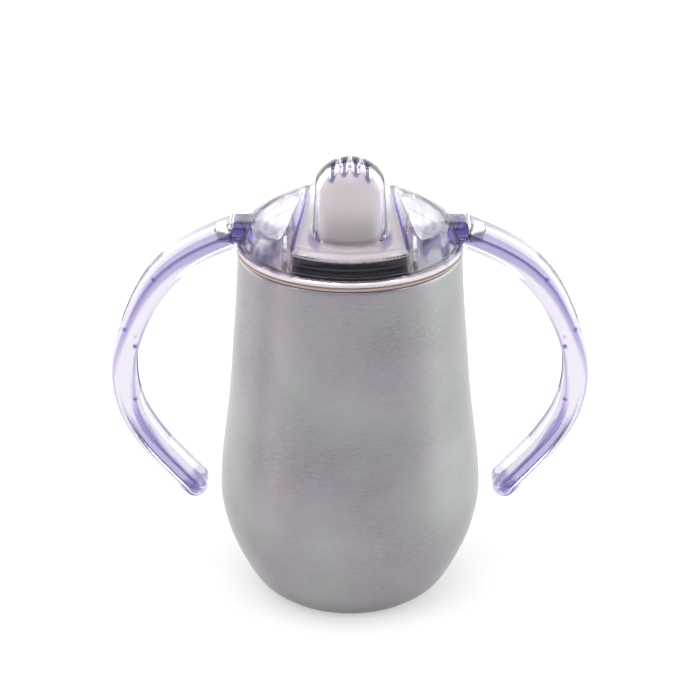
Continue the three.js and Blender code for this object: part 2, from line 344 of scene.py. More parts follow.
# ---------------------------------------------------------------- meshing
def sample_near(field, axes, skip=4):
    """The field on a grid, worked out in full only near the surface and coarsely elsewhere."""
    coarse_axes = [axis[::skip] for axis in axes]
    coarse = field(*np.meshgrid(*coarse_axes, indexing="ij"))
    reach = skip * (axes[0][1] - axes[0][0]) * 2.4
    values = coarse
    for direction in range(3):
        values = np.repeat(values, skip, axis=direction)
    values = values[tuple(slice(0, len(axis)) for axis in axes)]
    i, j, k = np.nonzero(np.abs(values) < reach)
    values[i, j, k] = field(axes[0][i], axes[1][j], axes[2][k])
    return values


def surface_net(values, axes):
    """Vertices and quads of the zero surface: one vertex in each cell the surface crosses."""
    inside = values < 0
    count = sum(inside[a:a - 1 or None, b:b - 1 or None, c:c - 1 or None].astype(np.int8)
                for a in (0, 1) for b in (0, 1) for c in (0, 1))
    crossed = (count > 0) & (count < 8)
    cells = np.argwhere(crossed)
    number = np.full(crossed.shape, -1)
    number[crossed] = np.arange(len(cells))
    step = axes[0][1] - axes[0][0]
    corner = np.array([axis[0] for axis in axes])
    quads = []
    for axis in range(3):
        u, v = (axis + 1) % 3, (axis + 2) % 3
        low = [slice(1, -1)] * 3
        high = [slice(1, -1)] * 3
        low[axis], high[axis] = slice(0, -1), slice(1, None)
        first, second = inside[tuple(low)], inside[tuple(high)]
        edges = np.argwhere(first != second)
        start = edges + 1
        start[:, axis] -= 1
        leaving = first[tuple(edges.T)]
        ring = []
        for du, dv in ((-1, -1), (0, -1), (0, 0), (-1, 0)):
            cell = start.copy()
            cell[:, u] += du
            cell[:, v] += dv
            ring.append(number[tuple(cell.T)])
        quad = np.stack(ring, axis=1)
        quads.append(np.where(leaving[:, None], quad, quad[:, ::-1]))
    return corner + (cells + 0.5) * step, np.concatenate(quads)


def gradient(field, points, reach=0.04):
    """Slope of the field at each point, from values a little to each side."""
    slopes = []
    for axis in np.eye(3):
        ahead, behind = points + axis * reach, points - axis * reach
        slopes.append((field(*ahead.T) - field(*behind.T)) / (2 * reach))
    return np.stack(slopes, axis=1)


def field_mesh(name, field, low, high, step):
    """Mesh object of the surface where field(x, y, z) is zero, in a box in millimetres."""
    axes = [np.arange(a - 3 * step, b + 4 * step, step) for a, b in zip(low, high)]
    points, quads = surface_net(sample_near(field, axes), axes)
    for _ in range(3):
        slope = gradient(field, points)
        length = np.maximum(np.sum(slope**2, axis=1), 0.2)
        move = slope * (field(*points.T) / length)[:, None]
        size = np.linalg.norm(move, axis=1, keepdims=True)
        points = points - move * np.minimum(1, step / np.maximum(size, 1e-9))
    normals = gradient(field, points)
    normals /= np.maximum(np.linalg.norm(normals, axis=1, keepdims=True), 1e-9)
    mesh = bpy.data.meshes.new(name)
    mesh.from_pydata((points * MM).tolist(), [], quads.tolist())
    mesh.shade_smooth()
    mesh.normals_split_custom_set_from_vertices(normals.tolist())
    return add_object(name, mesh)


def paint(piece, name, amount):
    """Store amount(x, y, z), of a place in millimetres, at every vertex as a named attribute."""
    mesh = piece.data
    points = np.empty(len(mesh.vertices) * 3, np.float32)
    mesh.vertices.foreach_get("co", points)
    values = np.clip(amount(*(points.reshape(-1, 3).T.astype(float) / MM)), 0, 1)
    mesh.attributes.new(name, "FLOAT", "POINT").data.foreach_set("value", values.astype(np.float32))


def fade(value, low, high):
    """0 below low, 1 above high, smooth between; falling when low is above high."""
    t = np.clip((value - low) / (high - low), 0, 1)
    return t * t * (3 - 2 * t)


def turned_mesh(name, outline, segments=160):
    """Solid of revolution of a closed outline of (radius, height) points in millimetres."""
    angles = np.linspace(0, 2 * math.pi, segments, endpoint=False)
    verts = []
    rows = []
    for r, z in outline:
        if r < 1e-6:
            rows.append([len(verts)] * segments)
            verts.append((0, 0, z * MM))
        else:
            rows.append(list(range(len(verts), len(verts) + segments)))
            verts.extend((r * math.cos(a) * MM, r * math.sin(a) * MM, z * MM) for a in angles)
    faces = []
    for i, row in enumerate(rows):
        after = rows[(i + 1) % len(rows)]
        if row[0] == row[1] and after[0] == after[1]:
            continue
        for j in range(segments):
            k = (j + 1) % segments
            corners = [row[j], row[k], after[k], after[j]]
            faces.append(tuple(dict.fromkeys(corners)))
    mesh = bpy.data.meshes.new(name)
    mesh.from_pydata(verts, [], faces)
    mesh.shade_smooth()
    mesh.set_sharp_from_angle(angle=math.radians(40))
    return add_object(name, mesh)


# ---------------------------------------------------------------- materials
NOISE_RANGE = (0.3, 0.7)


def object_place(tree):
    """Where a point is on the object, in metres."""
    return node(tree, "ShaderNodeTexCoord").outputs["Object"]


def noise(tree, vector, scale, detail=3.0):
    """Noise with about scale grains to the metre."""
    made = node(tree, "ShaderNodeTexNoise", Scale=scale, Detail=detail)
    link(tree, vector, made.inputs["Vector"])
    return made.outputs["Fac"]


def spread(tree, value, low, high):
    """Noise, which seldom leaves NOISE_RANGE, carried to low and high."""
    return map_range(tree, value, NOISE_RANGE, (low, high))


def attribute(tree, name):
    """A value painted on the mesh, or 0 where the mesh has none."""
    made = node(tree, "ShaderNodeAttribute")
    made.attribute_name = name
    return made.outputs["Fac"]


def bump(tree, shader, height, strength, distance):
    """Fine relief from a height output; distance is in metres."""
    made = node(tree, "ShaderNodeBump", Strength=strength, Distance=distance)
    link(tree, height, made.inputs["Height"])
    link(tree, made.outputs["Normal"], shader.inputs["Normal"])


def round_the_axis(tree, turns, rise):
    """Coordinates that run round the Z axis and up it, so that noise stretches into brush lines."""
    x, y, z = split_axes(tree, object_place(tree))
    join = node(tree, "ShaderNodeCombineXYZ")
    scale = node(tree, "ShaderNodeVectorMath")
    scale.operation = "MULTIPLY"
    scale.inputs[1].default_value = (turns, 0, rise)
    link(tree, maths(tree, "ARCTAN2", y, x), join.inputs["X"])
    link(tree, z, join.inputs["Z"])
    link(tree, join.outputs[0], scale.inputs[0])
    return scale.outputs[0]


def colour_steps(tree, factor, stops):
    """Colour that runs through evenly spaced stops as factor goes from 0 to 1."""
    return ramp_node(tree, factor, [(i / (len(stops) - 1), tone) for i, tone in enumerate(stops)])


STREAK_SHADE = 0.68  # how light the worn streaks are, beside the clean metal
FOOT_SHADE_BAND = (0.002, 0.009)  # heights, in metres, between which the painted shade at the foot fades out
# how strongly the painted shade darkens the foot
FOOT_SHADE_AMOUNT = 0.6


def steel(name, green, pink, roughness, brushing, grain):
    """Brushed steel: fine lines round the axis, cloudy patches between a greenish and a pinkish grey,
    and a darker band at the foot, which is painted shade.
    """
    material, tree, shader = new_material(name)
    place = object_place(tree)
    brushed = noise(tree, round_the_axis(tree, 2.0, 2600.0), 1.0, 4.0)
    streaks = noise(tree, round_the_axis(tree, 16.0, 1400.0), 1.0, 5.0)
    clouds = noise(tree, place, 38.0, 6.0)
    shade = blend_colours(tree, spread(tree, clouds, 0, 1), green, pink)
    # the dark tone of the worn streaks, also used for the painted shade at the foot
    dark = tuple(STREAK_SHADE * (a + b) / 2 for a, b in zip(green, pink))
    patches = spread(tree, noise(tree, place, 34.0, 8.0), -0.1, 0.9)
    worn = maths(tree, "MULTIPLY", spread(tree, streaks, 0.3, 1), patches)
    streaked = blend_colours(tree, worn, shade, dark)
    # Painted shade: darker towards the foot, where the cup meets the floor.
    foot = map_range(tree, split_axes(tree, place)["Z"], FOOT_SHADE_BAND, (FOOT_SHADE_AMOUNT, 0))
    link(tree, blend_colours(tree, foot, streaked, dark), shader.inputs["Base Color"])
    shader.inputs["Metallic"].default_value = 1
    shader.inputs["Anisotropic"].default_value = brushing
    shader.inputs["Anisotropic Rotation"].default_value = 0.25
    tangent = node(tree, "ShaderNodeTangent")
    tangent.direction_type = "RADIAL"
    tangent.axis = "Z"
    link(tree, tangent.outputs[0], shader.inputs["Tangent"])
    rough = spread(tree, brushed, roughness - 0.06, roughness + 0.08)
    link(tree, rough, shader.inputs["Roughness"])
    bump(tree, shader, brushed, grain, 0.00004)
    return material


def clear_plastic(name, tone, waviness, density, clearness):
    """Clear violet plastic with a little haze.

    The mesh says where painted shade makes it deep violet (tint), where that painted shade comes in
    patches (cloud), and where the surface is matt and pale (frost).
    """
    material, tree, shader = new_material(name)
    shader.inputs["IOR"].default_value = 1.5
    place = object_place(tree)
    patches = spread(tree, noise(tree, place, 170.0, 1.0), -0.6, 2.0)
    # Painted shade: the painted amounts carry the colour from the plain tone towards deep violet.
    patchy = maths(tree, "MULTIPLY", attribute(tree, "painted_patches"), patches)
    violet = maths(tree, "MAXIMUM", attribute(tree, "painted_shade"), patchy)
    painted_shade_tone = colour_steps(tree, violet, (tone, HALF_VIOLET, EDGE_VIOLET))
    frost = attribute(tree, "frost")
    link(tree, blend_colours(tree, frost, painted_shade_tone, FROST_TONE), shader.inputs["Base Color"])
    clear = map_range(tree, frost, (0, 1), (clearness, FROST_CLEARNESS))
    link(tree, clear, shader.inputs["Transmission Weight"])
    link(tree, spread(tree, noise(tree, place, 300.0), 0.02, 0.06), shader.inputs["Roughness"])
    bump(tree, shader, noise(tree, place, 140.0, 2.0), waviness, 0.0004)
    depth = node(tree, "ShaderNodeVolumeAbsorption", Color=(*DEPTH_TONE, 1), Density=density)
    link(tree, depth.outputs[0], tree.nodes["Material Output"].inputs["Volume"])
    return material


def silicone(name, tone, see_through):
    """Soft matt silicone, a little see-through. The mesh may say where a hollow darkens it (shade)."""
    material, tree, shader = new_material(name)
    place = object_place(tree)
    dull, bright = tuple(t * 0.95 for t in tone), tuple(min(1, t * 1.03) for t in tone)
    mottled = blend_colours(tree, noise(tree, place, 120.0), dull, bright)
    hollow = tuple(0.5 * t for t in tone)
    shaded = blend_colours(tree, attribute(tree, "shade"), mottled, hollow)
    link(tree, shaded, shader.inputs["Base Color"])
    shader.inputs["Transmission Weight"].default_value = see_through
    shader.inputs["IOR"].default_value = 1.41
    shader.inputs["Subsurface Weight"].default_value = 0.35
    shader.inputs["Subsurface Radius"].default_value = (1, 0.9, 0.88)
    shader.inputs["Subsurface Scale"].default_value = 0.002
    link(tree, spread(tree, noise(tree, place, 900.0), 0.38, 0.5), shader.inputs["Roughness"])
    bump(tree, shader, noise(tree, place, 2500.0, 2.0), 0.1, 0.00005)
    return material


def sealing_glass():
    """Bead of fused glass solder: dark green grey, glossy, with small bubbles."""
    material, tree, shader = new_material("sealing_glass")
    place = object_place(tree)
    clouds = spread(tree, noise(tree, place, 600.0, 4.0), 0, 1)
    tone = blend_colours(tree, clouds, (0.05, 0.07, 0.06), (0.11, 0.13, 0.11))
    link(tree, tone, shader.inputs["Base Color"])
    link(tree, spread(tree, noise(tree, place, 900.0), 0.08, 0.25), shader.inputs["Roughness"])
    bump(tree, shader, noise(tree, place, 1800.0, 2.0), 0.3, 0.00005)
    return material


def pressed_powder():
    """Pill of pressed metal powder: dull, dark and granular."""
    material, tree, shader = new_material("pressed_powder")
    place = object_place(tree)
    grains = noise(tree, place, 2600.0, 4.0)
    dark, light = (0.16, 0.155, 0.15), (0.30, 0.29, 0.28)
    tone = blend_colours(tree, spread(tree, grains, 0, 1), dark, light)
    link(tree, tone, shader.inputs["Base Color"])
    shader.inputs["Metallic"].default_value = 0.6
    link(tree, spread(tree, grains, 0.55, 0.8), shader.inputs["Roughness"])
    bump(tree, shader, grains, 0.6, 0.0001)
    return material


def finish_piece(piece, body, slot, material, *nodes):
    """Give a piece its material, hang it on what it rides on, and hide the CAD nodes it stands for."""
    piece.data.materials.clear()
    piece.data.materials.append(material)
    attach(piece, body)
    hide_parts(*nodes)


# ---------------------------------------------------------------- steel body
BODY_OUTLINE = [
    (25.7, 0), (29.9, 3.6), (34.1, 10.6), (38.05, 20), (40.2, 29), (40.5, 36), (39.9, 45),
    (38.5, 56), (37.1, 68), (36.0, 82), (34.8, 97), (34.0, 111),
]
SHEET = 0.6  # thickness of the steel
LINER_INSET = 3.0  # from the outside of the shell in to the outside of the liner


def offset_outline(points, distance):
    """The outline moved sideways, towards the left of its direction."""
    moved = []
    for i, (r, z) in enumerate(points):
        r0, z0 = points[max(i - 1, 0)]
        r1, z1 = points[min(i + 1, len(points) - 1)]
        length = math.hypot(r1 - r0, z1 - z0)
        moved.append((r - (z1 - z0) / length * distance, z + (r1 - r0) / length * distance))
    return moved


def make_body(brushed, shaded_liner):
    """Outer shell, inner liner and the disc in the foot."""
    outside = smooth_route(BODY_OUTLINE, 10)
    lip = [(33.9, RIM_Z - 0.35), (33.7, RIM_Z - 0.1), (33.4, RIM_Z), (32.9, RIM_Z), (32.6, RIM_Z - 0.2),
           (32.6, RIM_Z - 0.6)]
    inside = offset_outline(outside, SHEET)[::-1]
    foot = [(25.4, 0.8), (22.5, 0.8), (22.5, 0.25), (22.75, 0), (25.2, 0)]
    shell = turned_mesh("steel_shell", outside + lip + inside[:-2] + foot)
    finish_piece(shell, "cup", "brushed_steel", brushed, "outer_shell")
    wall = [(r - LINER_INSET, z) for r, z in outside if 20 < z < 104]
    floor = smooth_route([(0, LINER_LOW[2]), (14, LINER_LOW[2]), (24, 7.6), (31, 12.8), (34, 17.6)], 8)
    liner_out = floor + wall
    liner_in = offset_outline(liner_out, SHEET)[::-1]
    liner_in[-1] = (0, liner_in[-1][1])
    lip = [(31.7, RIM_Z - 1), (32.3, RIM_Z - 0.7), (32.3, RIM_Z - 0.1), (31.4, RIM_Z - 0.1),
           (31.1, RIM_Z - 0.4), (31.1, 104)]
    # Its steel is painted near-black, as shade.
    liner = turned_mesh("steel_liner", liner_out + lip + liner_in)
    finish_piece(liner, "cup", "satin_steel", shaded_liner, "inner_liner")
    edge = COVER_HIGH[0]
    low, high = COVER_LOW[2], COVER_HIGH[2]
    disc = turned_mesh("base_disc", [
        (0, low + 0.15), (14, low + 0.15), (16, low), (edge - 0.4, low), (edge, low + 0.25),
        (edge, high), (0, high)])
    finish_piece(disc, "cup", "brushed_steel", brushed, "base_cover")


# ---------------------------------------------------------------- seal ring
def make_gasket(material):
    """Seal ring with two beads, and a lip between the lid's flange and the rim."""
    inner, outer = 29.9, FLANGE_R
    low, top = GASKET_LIP_Z + 0.1, GASKET_HIGH[2]
    middle = (low + top) / 2
    beads = []
    for z in (108.0, 110.4):
        beads += [(30.4, z - 0.6), (30.7, z - 0.3), (30.8, z), (30.7, z + 0.3), (30.4, z + 0.6)]
    lip = [(30.4, low), (outer - 0.3, low), (outer - 0.08, low + 0.15), (outer, middle),
           (outer - 0.08, top - 0.15), (outer - 0.3, top), (inner, top)]
    gasket = turned_mesh("seal_ring", [(inner, GASKET_LOW[2]), (30.4, GASKET_LOW[2])] + beads + lip)
    finish_piece(gasket, "seal", "blush_silicone", material, "lid_gasket")


# ---------------------------------------------------------------- lid
DOME_TOP_Z = 131.0
DOME_R = 53.0
DOME_CENTRE_Z = DOME_TOP_Z - DOME_R
SPOUT_Y = -20.1
SPOUT_BASE_Z, SPOUT_TIP_Z = 126.0, 140.5
SPOUT_HALF = (11.0, 6.9)  # half width and half depth
SPOUT_TAPER = (0.9, 0.7)  # how far each of the two draws in by the tip
SPOUT_WALL = 1.5
SPOUT_BORE_Z = 145.4
HOLE_ROWS = ((-18.4, 2.9, 3), (-22.4, 3.2, 4))  # y, spacing and number of holes
HOLE_R = 0.6
HOLE_FLOOR_Z = 141
CHANNEL_HALF = 16.7  # half width of the hollow between the solid wings
WING_FLOOR_Z = 114.0
FIELD_STEP = 0.45  # mesh size of the lid and the valve


def cap_points(radius, lowered, steps=24):
    """Outline of the spherical top, or of one lowered inside it, from a radius in to the axis."""
    sphere = DOME_R - lowered
    start = math.asin(radius / sphere)
    angles = [start * (1 - i / steps) for i in range(steps + 1)]
    return [(sphere * math.sin(a), DOME_CENTRE_Z + sphere * math.cos(a)) for a in angles]


LID_OUTSIDE = [
    (0, SKIRT_Z), (30.0, SKIRT_Z), (30.3, SKIRT_Z + 0.3), (30.3, SKIRT_Z + 0.7), (29.6, SKIRT_Z + 1),
    (29.6, FLANGE_Z), (FLANGE_R - 0.3, FLANGE_Z), (FLANGE_R, FLANGE_Z + 0.3),
    (FLANGE_R, FLANGE_Z + 0.9), (FLANGE_R - 0.3, FLANGE_Z + 1.2), (33.4, FLANGE_Z + 1.25),
    (32.9, FLANGE_Z + 1.6), (32.4, FLANGE_Z + 2.8), (31.5, FLANGE_Z + 5.6), (30.7, FLANGE_Z + 7.5),
    (29.9, FLANGE_Z + 8.6), *cap_points(28.8, 0),
]
LID_HOLLOW = [
    (0, SKIRT_Z - 2), (28.0, SKIRT_Z - 2), (28.0, 112), (29.6, 114.6), (29.6, 117), (29.0, 119.4),
    *cap_points(28.0, 2.6),
]
SCOOP = [
    (14.8, 9.6), (20.4, 11.2), (24.8, 8.2), (28.0, 4.6), (29.3, -1.2), (28.2, -8.2), (26.0, -13.6),
    (23.2, -17.4), (20.6, -19.2), (18.7, -15.8), (16.9, -9.1), (15.2, -0.9),
]
SCOOP_MARK = [(24.9, -10.6), (25.2, -5.8), (21.8, -4.1), (18.0, -4.7)]
SCOOP_RIPPLE = [(27.2, -10.5), (25.0, -14.2), (22.4, -14.4), (19.6, -13.2)]
SCOOP_DEPTH = 1.7
SLOT_X, SLOT_HALF = 18.6, 0.7  # narrow slot up into the front of each wing
SLOT_BACK_Y = -16
CREASE = [
    (16.9, -24.5), (15.6, -17.5), (14.5, -11.5), (13.4, -3.6), (12.8, 6), (13.2, 12.5), (15, 17.5),
]


def oval_column(x, y, z, inward, top):
    """Distance to the spout's oval column with a domed end, shrunk evenly by inward."""
    lean = np.clip((z - SPOUT_BASE_Z) / (SPOUT_TIP_Z - SPOUT_BASE_Z), 0, 1)
    wide, deep = (half - taper * lean - inward for half, taper in zip(SPOUT_HALF, SPOUT_TAPER))
    tip = SPOUT_TIP_Z - inward
    above = np.maximum(z - tip, 0)
    size = np.sqrt(x**2 + (y - SPOUT_Y) ** 2 + above**2) + 1e-9
    ratio = np.sqrt((x / wide) ** 2 + ((y - SPOUT_Y) / deep) ** 2 + (above / (top - tip)) ** 2) + 1e-9
    return size * (1 - 1 / ratio)


def above_dome(x, y, z):
    """Height above the lid's spherical top."""
    return np.sqrt(x**2 + y**2 + (z - DOME_CENTRE_Z) ** 2) - DOME_R


def scoop_depth(side, y):
    """How far a wing's hollowed top lies below the dome."""
    inside = -outline_distance(side, y, SCOOP_EDGE)
    return SCOOP_DEPTH * (1 - np.exp(-np.maximum(inside, 0) / 2.6))


# Blocks at the handle joint: centre, half sizes and corner radius.
LUG_BLOCK = ((29.9, 0, 118.6), (6.4, 5.4, 3.5), 2.4)
TONGUE_BLOCK = ((36, 0, 117), (3.6, 2.5, 1.2), 0.3)
SOCKET_BLOCK = ((36, 0, 117), (3.95, 2.8, 1.5), 0.3)


def lug_distance(side, y, z):
    """The knob on each side that a handle snaps over."""
    return block_distance(side, y, z, *LUG_BLOCK)


def lid_field(x, y, z):
    """Dome, scooped wings, spout, lugs and tongues, less the hollow, the bore and the holes."""
    r = np.hypot(x, y)
    side = np.abs(x)
    body = outline_distance(r, z, LID_OUTSIDE)
    above = above_dome(x, y, z)
    body = smooth_cut(body, -above - scoop_depth(side, y), 0.3)
    groove, _ = route_distance(side, y, CREASE_ROUTE)
    body = smooth_cut(body, np.hypot(groove, above) - 0.5, 0.25)
    body = smooth_union(body, np.maximum(oval_column(x, y, z, 0, SPOUT_TOP_Z), 118 - z), 1.8)
    lug = lug_distance(side, y, z)
    tongue = block_distance(side, y, z, *TONGUE_BLOCK)
    body = smooth_union(body, lug, 1.0)
    body = smooth_union(body, tongue, 0.4)
    hollow = outline_distance(r, z, LID_HOLLOW)
    slot = np.maximum(np.abs(side - SLOT_X) - SLOT_HALF, y - SLOT_BACK_Y)
    hollow = np.maximum(hollow, np.minimum(np.minimum(side - CHANNEL_HALF, slot), z - WING_FLOOR_Z))
    bore = np.maximum(oval_column(x, y, z, SPOUT_WALL, SPOUT_BORE_Z), 114 - z)
    body = smooth_cut(body, smooth_union(hollow, bore, 0.6), 0.4)
    return smooth_cut(body, spout_holes(x, y, z), 0.25)


def spout_holes(x, y, z):
    """The seven drinking holes, in two rows."""
    holes = np.full(np.shape(x), 1e3)
    for row_y, pitch, count in HOLE_ROWS:
        for i in range(count):
            centre = (i - (count - 1) / 2) * pitch
            holes = np.minimum(holes, np.hypot(x - centre, y - row_y) - HOLE_R)
    return np.maximum(holes, HOLE_FLOOR_Z - z)


CREASE_ROUTE = smooth_route(CREASE, 5)
SCOOP_EDGE = smooth_loop(SCOOP, 4)


def wing_painted_shade(x, y, z):
    """Painted violet shade along the crease beside each wing, round and inside its scoop, and at its
    outer corner.
    """
    side = np.abs(x)
    above = above_dome(x, y, z)
    near = fade(np.abs(above), 1.5, 0.8)
    groove, _ = route_distance(side, y, CREASE_ROUTE)
    crease = fade(groove, 0.85, 0.5) * near
    ridge = 0.35 * fade(np.abs(groove - 2.4), 0.5, 0.2) * fade(side, 14.8, 15.2) * near
    outside = outline_distance(side, y, SCOOP_EDGE)
    edge = 0.65 * fade(np.abs(outside - 0.2), 0.55, 0.25) * near
    inner = 0.3 * fade(np.abs(outside + 1.2), 0.4, 0.2) * fade(side, 24, 20) * near
    corner = fade(side, 24.5, 27.5) * fade(y, 1, -2) * fade(y, -14, -11)
    shoulder = corner * fade(outside, 0, 0.6) * fade(z, 117.2, 118.6) * fade(z, 123.6, 122.8)
    dish = fade(np.abs(above + scoop_depth(side, y)), 0.6, 0.3)
    scoop = 0.28 * fade(outside, -0.3, -1.2) * dish
    mark, _ = route_distance(side, y, SCOOP_MARK)
    ripple, _ = route_distance(side, y, SCOOP_RIPPLE)
    fold = 0.7 * np.maximum(fade(mark, 1.2, 0.3), 0.8 * fade(ripple, 0.9, 0.3)) * dish
    return np.maximum.reduce([crease, ridge, edge, inner, shoulder, scoop, fold])


def spout_painted_shade(x, y, z):
    """Painted violet shade at the spout's sides, round its root and down its holes."""
    side = np.abs(x)
    spout = np.abs(oval_column(x, y, z, 0, SPOUT_TOP_Z))
    cheek = 0.35 * fade(side, 9.2, 10.6) * fade(spout, 1.0, 0.5) * fade(z, 124, 126)
    foot = 0.4 * fade(side, 8, 10) * fade(spout, 1.6, 0.8)
    foot *= fade(z, 128.5, 126) * fade(y, -18, -20)
    holes = 0.8 * fade(spout_holes(x, y, z), 0.5, 0.2)
    return np.maximum.reduce([cheek, foot, holes])


def lid_painted_shade(x, y, z):
    """Where the lid is painted with violet shade: the wings, the spout, the rim, the front wall's edge
    and the lugs.
    """
    side, r = np.abs(x), np.hypot(x, y)
    rim = 0.1 * fade(r, 33.0, 33.4)
    front = fade(side, 16.5, 16) * fade(y, -20, -22) * fade(z, 118.2, 118.8) * fade(r, 28.6, 29.0)
    front *= 0.02 + 0.2 * fade(np.abs(r - 29.1), 0.6, 0.2)
    lug = fade(side, 29.4, 30.4) * fade(np.abs(y), 6.5, 5.9) * fade(z, 114.6, 115.2)
    # The painted shade is deeper on each lug's lower half.
    lug *= 0.25 + 0.75 * fade(z, 119.6, 118.8)
    return np.maximum.reduce([wing_painted_shade(x, y, z), spout_painted_shade(x, y, z), rim, front, lug])


def lid_painted_patches(x, y, z):
    """Painted shade: patches of violet on the wings' steep walls, where light has gone a long way
    through them.
    """
    side, r = np.abs(x), np.hypot(x, y)
    wall = fade(r, 28.2, 29.2) * fade(z, 123, 121.8) * fade(z, FLANGE_Z, FLANGE_Z + 1.6)
    return wall * fade(side, 19.5, 23)


def lid_frost(x, y, z):
    """The matt underside of the wings, the rim and the tongues, and a little haze elsewhere."""
    side, r = np.abs(x), np.hypot(x, y)
    wing = fade(z, WING_FLOOR_Z + 0.25, WING_FLOOR_Z + 0.1) * fade(z, FLANGE_Z - 1.5, FLANGE_Z - 0.5)
    wing *= 0.85 * fade(side, CHANNEL_HALF, CHANNEL_HALF + 0.5)
    rim = 0.7 * fade(r, 33.2, 33.6) * fade(z, FLANGE_Z + 1.4, FLANGE_Z + 1.2)
    spout = 0.04 * fade(z, 126, 130)
    tongue = 0.3 * fade(side, 36.2, 36.6)
    haze = 0.04 * fade(side, 15.5, 17.5)
    above = above_dome(x, y, z)
    dish = 0.2 * fade(scoop_depth(side, y), 0.2, 0.8) * fade(above, -2.8, -2.2)
    return np.maximum.reduce([wing, rim, spout, tongue, haze, dish])


def make_lid(material):
    """The moulded lid, painted with its violet shade, the patches of that shade, and its matt places.
    """
    lid = field_mesh("clear_lid", lid_field, LID_LOW, LID_HIGH, FIELD_STEP)
    for name, amount in (("painted_shade", lid_painted_shade), ("painted_patches", lid_painted_patches), ("frost", lid_frost)):
        paint(lid, name, amount)
    finish_piece(lid, "lid", "clear_plastic", material, "lid_shell")


# ---------------------------------------------------------------- valve
PLATE_HALF = 16.2
PLATE_DEPTH, PLATE_HALF_THICK, PLATE_R = 3.8, 0.65, 27.4
LIP_R, LIP_HALF_THICK, LIP_LOW_Z = 26.8, 0.7, 118.9
VALVE_GAP, VALVE_WALL = 0.25, 1.65


def valve_field(x, y, z):
    """Curved plate with a front lip and its nub, and a hollow plug with a slit in its top."""
    r = np.hypot(x, y)
    depth = -above_dome(x, y, z)
    plate = np.maximum(np.abs(depth - PLATE_DEPTH) - PLATE_HALF_THICK, r - PLATE_R)
    under_dome = 0.5 - depth + 3
    lip = np.maximum(np.abs(r - LIP_R) - LIP_HALF_THICK, np.maximum(LIP_LOW_Z - z, under_dome))
    lip = np.maximum(lip, y + 10)
    sheet = np.maximum(smooth_union(plate, lip, 0.8), np.abs(x) - PLATE_HALF)
    nub = block_distance(x, y, z, (0.3, -26.8, 119.2), (0.7, 0.5, 0.8), 0.35)
    sheet = smooth_union(sheet, nub, 0.8)
    outer = SPOUT_WALL + VALVE_GAP
    plug = np.maximum(oval_column(x, y, z, outer, SPOUT_BORE_Z - 0.3), 122 - z)
    body = smooth_union(sheet, plug, 0.8)
    core = np.maximum(oval_column(x, y, z, outer + VALVE_WALL, SPOUT_BORE_Z - 1.9), 112 - z)
    slit = block_distance(x, y, z, (0, SPOUT_Y, SPOUT_BORE_Z - 1), (3, 0.15, 2.5), 0.1)
    return smooth_cut(smooth_cut(body, core, 0.4), slit, 0.1)


def valve_shade(x, y, z):
    """The plug darkens towards its root, where it is open to the dark inside of the cup."""
    low = fade(z, 137, 126) * fade(z, 121.5, 124)
    return 0.95 * low * fade(y, -20, -24) * fade(np.abs(x), 10, 5)


def make_valve(material):
    """The silicone valve, painted darker where it is hollow."""
    valve = field_mesh("silicone_valve", valve_field, VALVE_LOW, VALVE_HIGH, FIELD_STEP)
    paint(valve, "shade", valve_shade)
    finish_piece(valve, "valve", "frosted_silicone", material, "spout_valve")


# ---------------------------------------------------------------- handles
HANDLE_LINE = [
    (33.4, 118.1), (46, 112.3), (55.2, 105.4), (62.8, 95.2), (68.3, 81.8),
    (69.6, 70.5), (67.4, 59.2), (61.3, 48.4), (54, 39.6), (48.6, 33.6),
]
HANDLE_HALF_DEPTH = (HANDLE_HIGH[1] - HANDLE_LOW[1]) / 2
HANDLE_HALF_THICK = 3.8
HANDLE_CORNER = 2.2
HANDLE_CENTRE = (21.5, 70.5)  # the arc's centre, for telling the bar's outer face from its inner one
HANDLE_RADIUS = 48.1
HANDLE_ROOT_X = FLANGE_R + 0.5
HANDLE_FIELD_STEP = 0.5
OUTER_POCKET = (0.27, 0.44)
INNER_POCKET = (0.48, 0.66)
POCKET_HALF_DEPTH, POCKET_SINK = 3.0, 0.35
HANDLE_ROUTE = smooth_route(HANDLE_LINE, 7)
HANDLE_STEPS = [math.dist(a, b) for a, b in zip(HANDLE_ROUTE, HANDLE_ROUTE[1:])]
HANDLE_LENGTH = sum(HANDLE_STEPS)
HANDLE_STARTS = np.cumsum([0, *HANDLE_STEPS])
HANDLE_MIDDLES = (HANDLE_STARTS[1:] + HANDLE_STARTS[:-1]) / 2
HANDLE_LEVEL = np.array([b[0] - a[0] for a, b in zip(HANDLE_ROUTE, HANDLE_ROUTE[1:])]) / HANDLE_STEPS


def socket_distance(x, y, z):
    """The hollow in the handle's root that takes the lid's tongue."""
    return block_distance(x, y, z, *SOCKET_BLOCK)


def half_thickness(travel):
    """Half the bar's thickness, a little more towards its root."""
    return HANDLE_HALF_THICK + 0.7 * fade(travel, 46, 26)


def from_arc(x, z):
    """Distance outwards from the handle's arc."""
    return np.hypot(x - HANDLE_CENTRE[0], z - HANDLE_CENTRE[1]) - HANDLE_RADIUS


